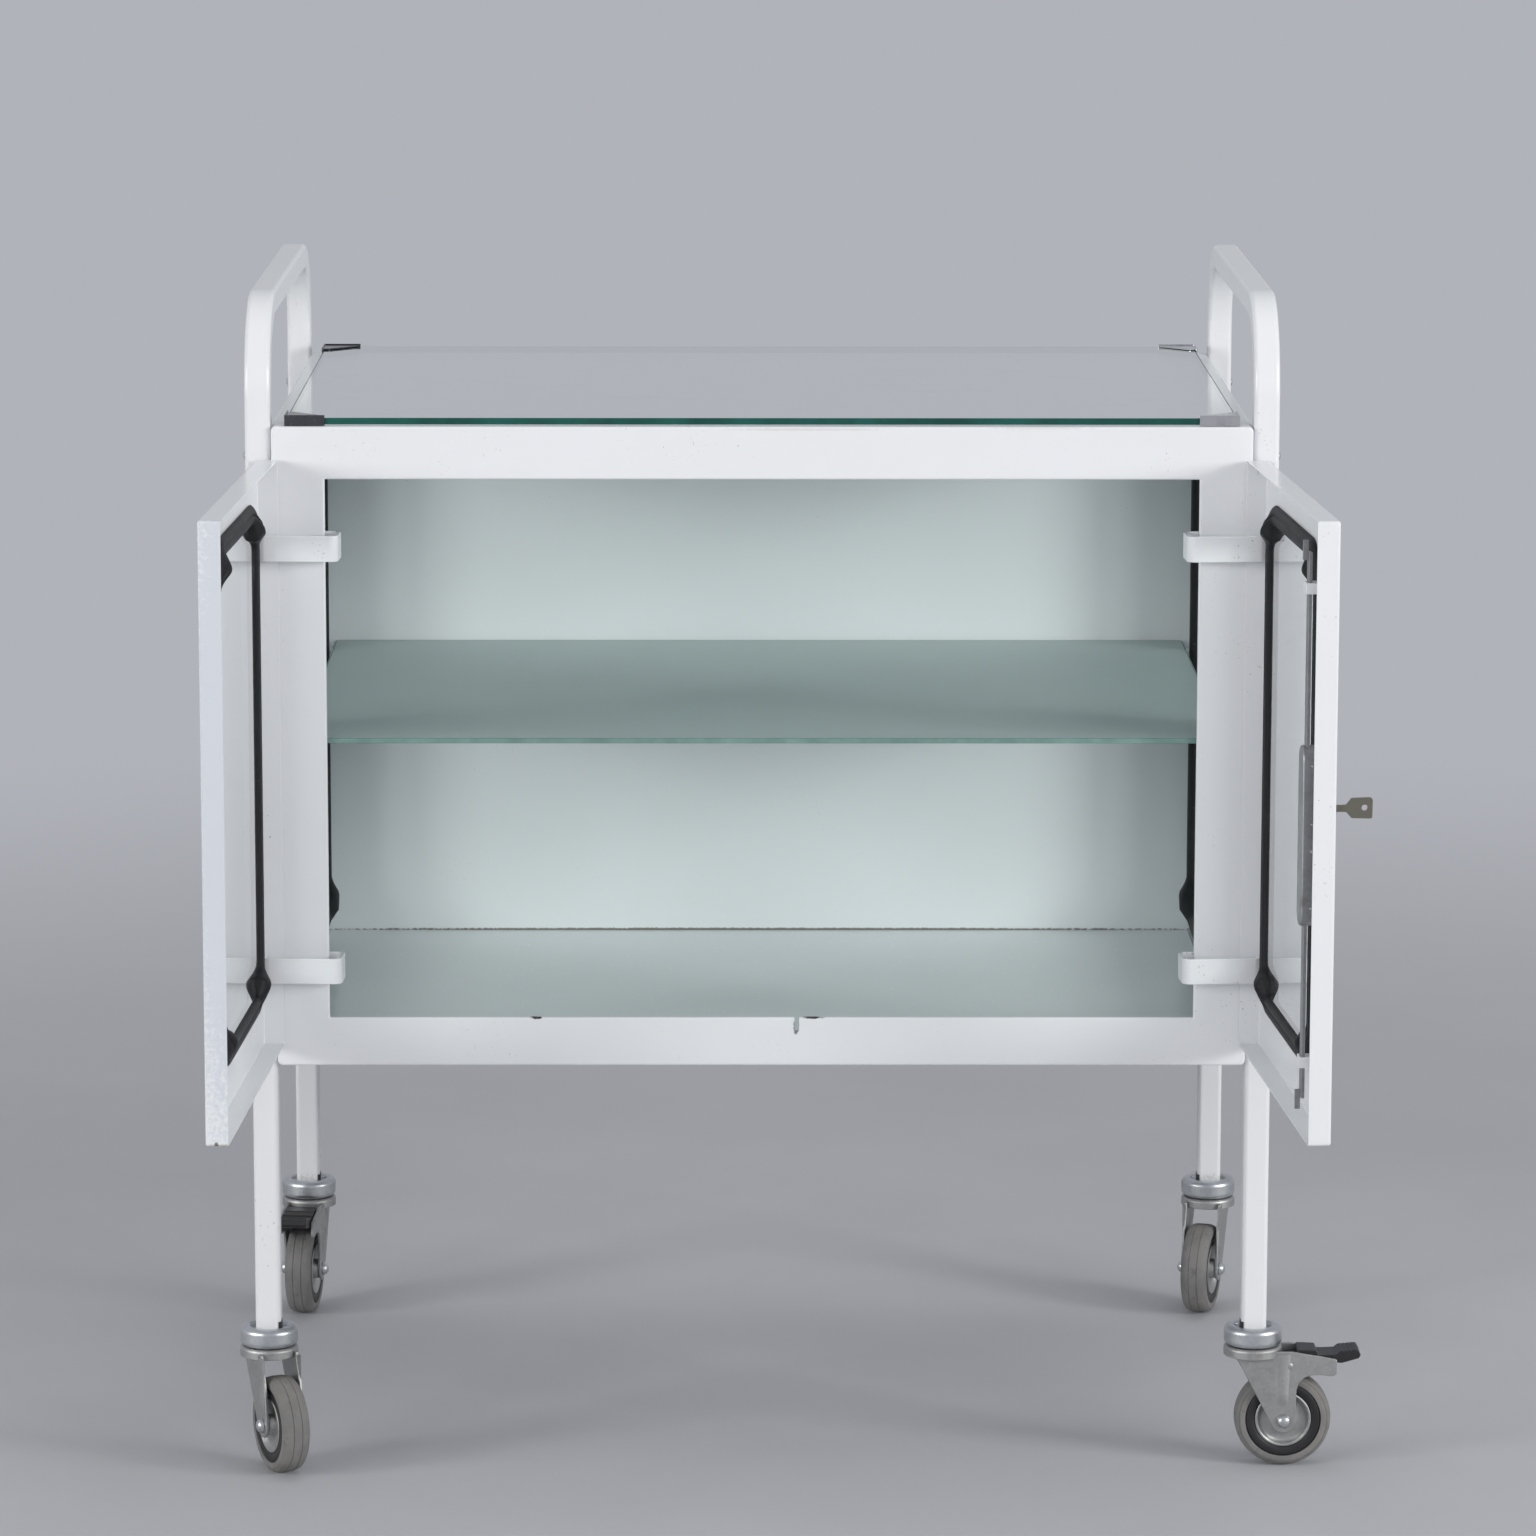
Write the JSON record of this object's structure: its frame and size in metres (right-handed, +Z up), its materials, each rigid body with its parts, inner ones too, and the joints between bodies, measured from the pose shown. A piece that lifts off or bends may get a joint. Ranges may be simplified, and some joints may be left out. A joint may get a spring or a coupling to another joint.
{
  "type": "hospital trolley cabinet",
  "caption": "Hospital trolley with a glazed two-door cabinet, frosted shelf, glass work top, tube side frames with push handles and swivel casters.",
  "frame": {"origin": "ground point under the middle of the object's plan with its doors open as pictured", "axes": "+Z up, -Y towards the front where the doors open, +X to the right seen from the front"},
  "size_m": [0.8851, 0.881, 0.925],
  "materials": {
    "white_lacquer": "satin lacquer, cool white, small chips at the edges",
    "clear_glass": "clear float glass with a dark green edge",
    "frosted_glass": "acid-etched, grey green",
    "black_rubber": "matt extruded rubber",
    "chrome": "polished",
    "galvanised_zinc": "dull zinc plating",
    "grey_tyre": "non-marking grey rubber, scuffed",
    "black_plastic": "moulded, fine grain",
    "nickel": "worn nickel plating"
  },
  "bodies": {
    "root": {"back_panel": "white_lacquer", "caster_front_left_head": "galvanised_zinc", "caster_front_right_head": "galvanised_zinc", "caster_rear_left_head": "galvanised_zinc", "caster_rear_right_head": "galvanised_zinc", "floor_panel": "white_lacquer", "front_frame": "white_lacquer", "glass_clip_front_left": "chrome", "glass_clip_front_right": "chrome", "glass_clip_rear_left": "chrome", "glass_clip_rear_right": "chrome", "hinge_bracket_left_lower": "white_lacquer", "hinge_bracket_left_upper": "white_lacquer", "hinge_bracket_right_lower": "white_lacquer", "hinge_bracket_right_upper": "white_lacquer", "shelf_glass": "frosted_glass", "side_frame_left": "white_lacquer", "side_frame_right": "white_lacquer", "side_glass_left": "clear_glass", "side_glass_right": "clear_glass", "side_panel_left": "white_lacquer", "side_panel_right": "white_lacquer", "side_seal_left": "black_rubber", "side_seal_right": "black_rubber", "top_panel": "white_lacquer", "work_top_glass": "clear_glass"},
    "door_left": {"door_left": "white_lacquer", "door_glass_left": "clear_glass", "door_seal_left": "black_rubber", "hinge_arm_left_upper": "white_lacquer", "hinge_arm_left_lower": "white_lacquer"},
    "door_right": {"door_right": "white_lacquer", "door_glass_right": "clear_glass", "door_seal_right": "black_rubber", "hinge_arm_right_upper": "white_lacquer", "hinge_arm_right_lower": "white_lacquer", "lock_case": "galvanised_zinc", "lock_collar": "chrome"},
    "key": {"key": "nickel", "lock_cylinder": "nickel"},
    "upper_rod": {"upper_rod": "galvanised_zinc"},
    "lower_rod": {"lower_rod": "galvanised_zinc"},
    "swivel_front_left": {"caster_front_left_fork": "galvanised_zinc", "caster_front_left_axle": "galvanised_zinc"},
    "wheel_front_left": {"caster_front_left_wheel": "black_plastic", "caster_front_left_tyre": "grey_tyre"},
    "swivel_front_right": {"caster_front_right_fork": "galvanised_zinc", "caster_front_right_axle": "galvanised_zinc"},
    "wheel_front_right": {"caster_front_right_wheel": "black_plastic", "caster_front_right_tyre": "grey_tyre"},
    "swivel_rear_left": {"caster_rear_left_fork": "galvanised_zinc", "caster_rear_left_axle": "galvanised_zinc"},
    "wheel_rear_left": {"caster_rear_left_wheel": "black_plastic", "caster_rear_left_tyre": "grey_tyre"},
    "swivel_rear_right": {"caster_rear_right_fork": "galvanised_zinc", "caster_rear_right_axle": "galvanised_zinc"},
    "wheel_rear_right": {"caster_rear_right_wheel": "black_plastic", "caster_rear_right_tyre": "grey_tyre"},
    "pedal_front_right": {"caster_front_right_pedal": "black_plastic"},
    "pedal_rear_left": {"caster_rear_left_pedal": "black_plastic"}
  },
  "joints": [
    {"name": "door_left_hinge", "type": "hinge", "parent": "root", "child": "door_left", "pos_m": [-0.392, -0.08218, 0.5695], "axis": [0, 0, 1], "range_deg": [-1, 92.9]},
    {"name": "door_right_hinge", "type": "hinge", "parent": "root", "child": "door_right", "pos_m": [0.3305, -0.08218, 0.5695], "axis": [0, 0, -1], "range_deg": [-1, 94]},
    {"name": "key_turn", "type": "hinge", "parent": "door_right", "child": "key", "pos_m": [0.36351, -0.41443, 0.5875], "axis": [0.9976, 0.0698, 0], "range_deg": [0, 90]},
    {"name": "upper_rod_slide", "type": "slide", "parent": "door_right", "child": "upper_rod", "axis": [0, 0, 1], "range_m": [0, 0.009]},
    {"name": "lower_rod_slide", "type": "slide", "parent": "door_right", "child": "lower_rod", "axis": [0, 0, -1], "range_m": [0, 0.009]},
    {"name": "swivel_front_left_turn", "type": "hinge", "parent": "root", "child": "swivel_front_left", "pos_m": [-0.41905, -0.07893, 0.095], "axis": [0, 0, 1], "continuous": true},
    {"name": "wheel_front_left_roll", "type": "hinge", "parent": "swivel_front_left", "child": "wheel_front_left", "pos_m": [-0.40891, -0.10068, 0.038], "axis": [0.9063, 0.4226, 0], "continuous": true},
    {"name": "swivel_front_right_turn", "type": "hinge", "parent": "root", "child": "swivel_front_right", "pos_m": [0.35755, -0.07893, 0.095], "axis": [0, 0, 1], "continuous": true},
    {"name": "wheel_front_right_roll", "type": "hinge", "parent": "swivel_front_right", "child": "wheel_front_right", "pos_m": [0.38155, -0.07893, 0.038], "axis": [0, 1, 0], "continuous": true},
    {"name": "swivel_rear_left_turn", "type": "hinge", "parent": "root", "child": "swivel_rear_left", "pos_m": [-0.41905, 0.41707, 0.095], "axis": [0, 0, 1], "continuous": true},
    {"name": "wheel_rear_left_roll", "type": "hinge", "parent": "swivel_rear_left", "child": "wheel_rear_left", "pos_m": [-0.42197, 0.39325, 0.038], "axis": [0.9925, -0.1219, 0], "continuous": true},
    {"name": "swivel_rear_right_turn", "type": "hinge", "parent": "root", "child": "swivel_rear_right", "pos_m": [0.35755, 0.41707, 0.095], "axis": [0, 0, 1], "continuous": true},
    {"name": "wheel_rear_right_roll", "type": "hinge", "parent": "swivel_rear_right", "child": "wheel_rear_right", "pos_m": [0.35093, 0.394, 0.038], "axis": [0.9613, -0.2756, 0], "continuous": true},
    {"name": "pedal_front_right_press", "type": "hinge", "parent": "swivel_front_right", "child": "pedal_front_right", "pos_m": [0.38555, -0.07893, 0.0827], "axis": [0, 1, 0], "range_deg": [0, 12]},
    {"name": "pedal_rear_left_press", "type": "hinge", "parent": "swivel_rear_left", "child": "pedal_rear_left", "pos_m": [-0.42246, 0.38928, 0.0827], "axis": [0.9925, -0.1219, 0], "range_deg": [0, 12]}
  ],
  "couplings": [
    {"joint": "key_turn", "follows": "upper_rod_slide", "rad_per_m": 174.53},
    {"joint": "lower_rod_slide", "follows": "upper_rod_slide", "ratio": 1}
  ]
}
